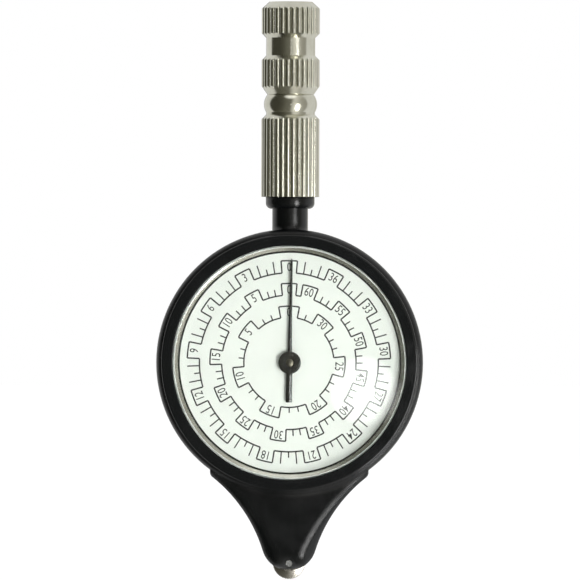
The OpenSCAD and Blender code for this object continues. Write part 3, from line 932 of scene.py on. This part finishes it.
@dataclass
class TracingWheel:
    """The serrated wheel under the tip: a flat hub, sloped flanks, a toothed rim."""

    outer_r: float = 2.628
    tooth: float = 0.1
    teeth: int = 60
    per_tooth: int = 8
    half_hub: float = 0.6
    hub_r: float = 1.35
    hub_ease_r: float = 0.06
    hub_ease_h: float = 0.05
    slope_r: float = 2.42
    slope_step: float = 0.03
    half_rim: float = 0.3
    rim_ease_share: float = 0.6
    rim_ease_h: float = 0.09
    bore_r: float = 0.5
    smooth_below: float = 32.0

    def profile(self) -> Profile:
        """The wheel's section: radius and distance from its middle plane."""
        half = [(self.bore_r, self.half_hub), (self.hub_r, self.half_hub),
                (self.hub_r + self.hub_ease_r, self.half_hub - self.hub_ease_h),
                (self.slope_r, self.half_rim + self.slope_step),
                (self.outer_r - self.tooth * self.rim_ease_share, self.half_rim),
                (self.outer_r, self.half_rim - self.rim_ease_h)]
        return half + [(radius, -depth) for radius, depth in reversed(half)]

    def _ring(self, bm: bmesh.types.BMesh, radius: float, depth: float) -> list:
        """Set out one ring of points, which dips between the teeth on the rim.

        Args:
            bm: the mesh under work.
            radius: the ring's radius over the teeth.
            depth: its distance from the wheel's middle plane.

        Returns:
            The ring's points.
        """
        count = self.teeth * self.per_tooth
        ring = []
        for k in range(count):
            a = TURN * k / count
            dip = self.tooth * (0.5 - 0.5 * math.cos(TURN * k / self.per_tooth))
            r = radius - (dip if radius > self.slope_r else 0.0)
            ring.append(bm.verts.new(
                Vector((r * math.sin(a), depth, AXLE_Z - r * math.cos(a))) * MM))
        return ring

    def build(self, paints: Paints) -> None:
        """Make the wheel in place of the solid one.

        Args:
            paints: where the finish comes from.
        """
        bm = bmesh.new()
        rings = [self._ring(bm, radius, depth) for radius, depth in self.profile()]
        for low, high in zip(rings, rings[1:] + rings[:1]):
            for k in range(len(low)):
                n = (k + 1) % len(low)
                bm.faces.new((low[k], low[n], high[n], high[k]))
        bmesh.ops.recalc_face_normals(bm, faces=bm.faces)
        mesh = bpy.data.meshes.new("tracing_wheel_fine")
        bm.to_mesh(mesh)
        bm.free()
        soften(mesh, self.smooth_below)
        piece = new_piece("tracing_wheel_fine", mesh, "wheel_set",
                          paints.get("wheel_steel"))
        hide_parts("tracing_wheel")


@dataclass
class Carried:
    """The solids that keep their own shape and only get a finish."""

    slots: dict[str, str]
    aged: str = "centre_spindle"
    smooth_below: float = 28.0

    def dress(self, nodes: dict[str, bpy.types.Object], paints: Paints) -> None:
        """Give every solid the finish of its slot.

        Args:
            nodes: the solids by name.
            paints: where the finishes come from.
        """
        for name, solid in sorted(nodes.items()):
            slot = self.slots[name]
            solid.data.materials.clear()
            solid.data.materials.append(paints.get("aged" if name == self.aged else slot))
            soften(solid.data, self.smooth_below)
            LOG.info("solid %s: %s", name, slot)


# ------------------------------------------------------------------ studio


@dataclass(frozen=True)
class Glow:
    """A soft patch of white light in the room that only glossy surfaces see."""

    aim: Triple
    inner: float
    outer: float
    strength: float


@dataclass(frozen=True)
class Lamp:
    """A soft box that faces the object, its place and size in metres."""

    name: str
    place: Triple
    size: tuple[float, float]
    power: float
    in_gloss: bool = True


@dataclass
class Studio:
    """The camera, the lamps, the white room and its floor."""

    look_x: float = 0.02
    look_z: float = 46.27
    view_w: float = 92.8
    away: float = 1500.0
    roll: float = -0.2
    sensor_w: float = 36.0
    clip: Band = (0.05, 20.0)
    # The room as gloss sees it: a bright ring of sides round a dim back, and a
    # front that goes from dim on the left to a window on the right
    back_side: Triple = (0.2, 1.0, 0.0)
    back_from: Band = (-0.03, 0.03)
    back_to: Band = (0.86, 0.92)
    bright_sides: Colour = (0.76, 0.76, 0.75)
    window_side: Triple = (1.0, 0.0, -0.1)
    front: Stops = (
        (-0.80, (0.050, 0.048, 0.034)),
        (-0.55, (0.080, 0.077, 0.057)),
        (-0.28, (0.140, 0.136, 0.108)),
        (0.02, (0.16, 0.156, 0.13)),
        (0.14, (0.52, 0.51, 0.46)),
        (0.28, (0.76, 0.75, 0.70)),
        (0.42, (0.66, 0.65, 0.60)),
        (0.62, (0.46, 0.45, 0.41)),
        (0.85, (0.36, 0.35, 0.31)),
    )
    glows: tuple[Glow, ...] = (
        Glow((0.050, -0.998, -0.0262), 0.5, 1.4, 10.0),
        Glow((0.0, -0.5, 0.87), 5.0, 24.0, 1.2),
    )
    fill: float = 0.62
    fill_colour: Colour = (0.9, 0.93, 1.0)
    floor_z: float = -0.02
    floor_reach: float = 3.0
    floor_white: float = 0.9
    floor_glow: float = 1.08
    floor_grain: float = 20.0
    floor_low: Colour = (0.93, 0.93, 0.93)
    floor_high: Colour = (0.96, 0.96, 0.96)
    lamp_aim: Triple = (0.0, 0.0, 0.045)
    lamps: tuple[Lamp, ...] = (
        Lamp("key", (0.272, -0.419, -0.128), (0.11, 0.40), 1.8),
        Lamp("rear_key", (-0.52, 0.78, 0.05), (0.52, 0.7), 5.6, in_gloss=False),
        Lamp("top", (0.0, 0.1, 0.9), (0.5, 0.5), 2.0, in_gloss=False),
    )

    def build(self) -> None:
        """Set everything up round the object."""
        self._camera()
        self._world()
        self._floor()
        for lamp in self.lamps:
            self._hang(lamp)
        bpy.context.scene.view_settings.view_transform = "Standard"

    def _camera(self) -> None:
        """A long lens straight in front of the front dial."""
        data = bpy.data.cameras.new("camera")
        data.sensor_width = self.sensor_w
        data.lens = self.sensor_w * self.away / self.view_w
        data.clip_start, data.clip_end = self.clip
        cam = bpy.data.objects.new("camera", data)
        bpy.context.scene.collection.objects.link(cam)
        cam.location = Vector((self.look_x, -self.away, self.look_z)) * MM
        cam.rotation_euler = (Matrix.Rotation(math.radians(self.roll), 3, "Y")
                              @ Matrix.Rotation(math.pi / 2, 3, "X")).to_euler()
        bpy.context.scene.camera = cam

    def _room(self, s: Sheet) -> Socket:
        """Paint the room that gloss and clear parts see.

        Args:
            s: the world's sheet.

        Returns:
            The room's colour in the ray's direction.
        """
        ray = s.add("TexCoord").outputs["Generated"]
        depth = s.agree(ray, Vector(self.back_side).normalized())
        back = s.calc("MULTIPLY", s.spread(depth, 0.0, 1.0, self.back_from),
                      s.spread(depth, 1.0, 0.0, self.back_to))
        front = s.ramp(s.agree(ray, Vector(self.window_side).normalized()), self.front)
        room = s.add("Mix", {0: back, 6: front, 7: (*self.bright_sides, 1)},
                     data_type="RGBA").outputs[2]
        for glow in self.glows:
            near = s.agree(ray, Vector(glow.aim).normalized())
            lit = s.spread(near, 0.0, glow.strength, (math.cos(math.radians(glow.outer)),
                                                      math.cos(math.radians(glow.inner))))
            room = s.add("VectorMath", {0: room, 1: s.scaled(WHITE, lit)},
                         operation="ADD").outputs[0]
        return room

    def _world(self) -> None:
        """White to the eye, a plain fill to dull surfaces, the room to gloss."""
        world = bpy.data.worlds.new("white_room")
        world.use_nodes = True
        bpy.context.scene.world = world
        s = Sheet(world.node_tree, "OutputWorld")
        room = self._room(s)
        path = s.add("LightPath").outputs
        gloss = s.calc("MAXIMUM", path["Is Glossy Ray"], path["Is Transmission Ray"])
        seen = s.add("Background", {"Color": room, "Strength": 1.0}).outputs[0]
        fill = s.add("Background", {"Color": (*self.fill_colour, 1),
                                    "Strength": self.fill}).outputs[0]
        plain = s.add("Background", {"Color": (*WHITE, 1), "Strength": 1.0}).outputs[0]
        first = s.add("MixShader", {0: gloss, 1: fill, 2: seen}).outputs[0]
        second = s.add("MixShader", {0: path["Is Camera Ray"], 1: first, 2: plain})
        s.tree.links.new(second.outputs[0], s.out.inputs[0])

    def _floor(self) -> None:
        """A pale floor just under the wheel, white where the eye meets it bare."""
        mesh = bpy.data.meshes.new("floor")
        reach = self.floor_reach
        mesh.from_pydata([(-reach, -reach, 0), (reach, -reach, 0), (reach, reach, 0),
                          (-reach, reach, 0)], [], [(0, 1, 2, 3)])
        floor = bpy.data.objects.new("floor", mesh)
        bpy.context.scene.collection.objects.link(floor)
        floor.location.z = self.floor_z * MM
        floor.visible_shadow = False
        floor.visible_glossy = False
        floor.visible_transmission = False
        s = Sheet.material("pale_floor")
        cloud = s.noise(self.floor_grain, 3.0)
        paper = s.add("BsdfDiffuse", {"Color": s.blend(cloud, self.floor_low,
                                                       self.floor_high)})
        white = s.add("Emission", {"Color": (*WHITE, 1), "Strength": self.floor_glow})
        path = s.add("LightPath").outputs
        seen = s.calc("MAXIMUM", path["Is Camera Ray"], path["Is Glossy Ray"])
        seen = s.calc("MAXIMUM", seen, path["Is Transmission Ray"])
        share = s.calc("MULTIPLY", seen, self.floor_white)
        mix = s.add("MixShader", {0: share, 1: paper.outputs[0], 2: white.outputs[0]})
        mesh.materials.append(s.finish(mix))

    def _hang(self, lamp: Lamp) -> None:
        """Hang one lamp, turned to the middle of the object.

        Args:
            lamp: the lamp's place, size and power.
        """
        data = bpy.data.lights.new(lamp.name, "AREA")
        data.shape = "RECTANGLE"
        data.size, data.size_y = lamp.size
        data.energy = lamp.power
        box = bpy.data.objects.new(lamp.name, data)
        bpy.context.scene.collection.objects.link(box)
        box.location = Vector(lamp.place)
        aim = Vector(self.lamp_aim) - Vector(lamp.place)
        box.rotation_mode = "QUATERNION"
        box.rotation_quaternion = aim.to_track_quat("-Z", "Y")
        box.visible_glossy = lamp.in_gloss


# -------------------------------------------------------------------- main


def front_scales() -> list[Scale]:
    """The three scales of the front dial, outermost first."""
    return [
        Scale(39.0, 3, 36, 14.25, 16.2, 15.2, 0.5, (1.0, 2.0), (1.5,)),
        Scale(62.76, 5, 60, 10.7, 12.57, 11.75, 1.0, (), (2.0, 3.0)),
        Scale(33.89, 5, 30, 7.17, 8.96, 8.03, 1.0, (), (2.0, 3.0)),
    ]


def rear_scales() -> list[Scale]:
    """The scales of the rear dial, for maps at 10, 20 and 40 mm to the unit."""
    return [
        Scale(99.06, 5, 95, 14.25, 16.2, 15.2, 1.15, (), (2.0, 3.0)),
        Scale(49.53, 5, 45, 10.7, 12.57, 11.75, 1.0, (), (2.0, 3.0)),
        Scale(24.765, 3, 21, 7.17, 8.96, 8.03, 0.6, (), (1.0, 2.0)),
    ]


def main() -> None:
    """Load the frame, build and dress every piece, then set up the studio."""
    logging.basicConfig(level=logging.INFO, format="%(message)s")
    bpy.ops.object.select_all(action="SELECT")
    bpy.ops.object.delete()
    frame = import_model()
    paints = Paints()
    slots = {row["node"]: row["material_slot"] for row in frame["record"]["subparts"]}
    Carried(slots).dress(frame["nodes"], paints)
    for side, scales in ((Side.FRONT, front_scales()), (Side.REAR, rear_scales())):
        Crystal(side).build(paints)
        TensionRing(side).build(paints)
        Print(side, scales).build(paints)
        Hand(side).build(paints)
    TracingWheel().build(paints)
    Studio().build()


if __name__ == "__main__":
    main()
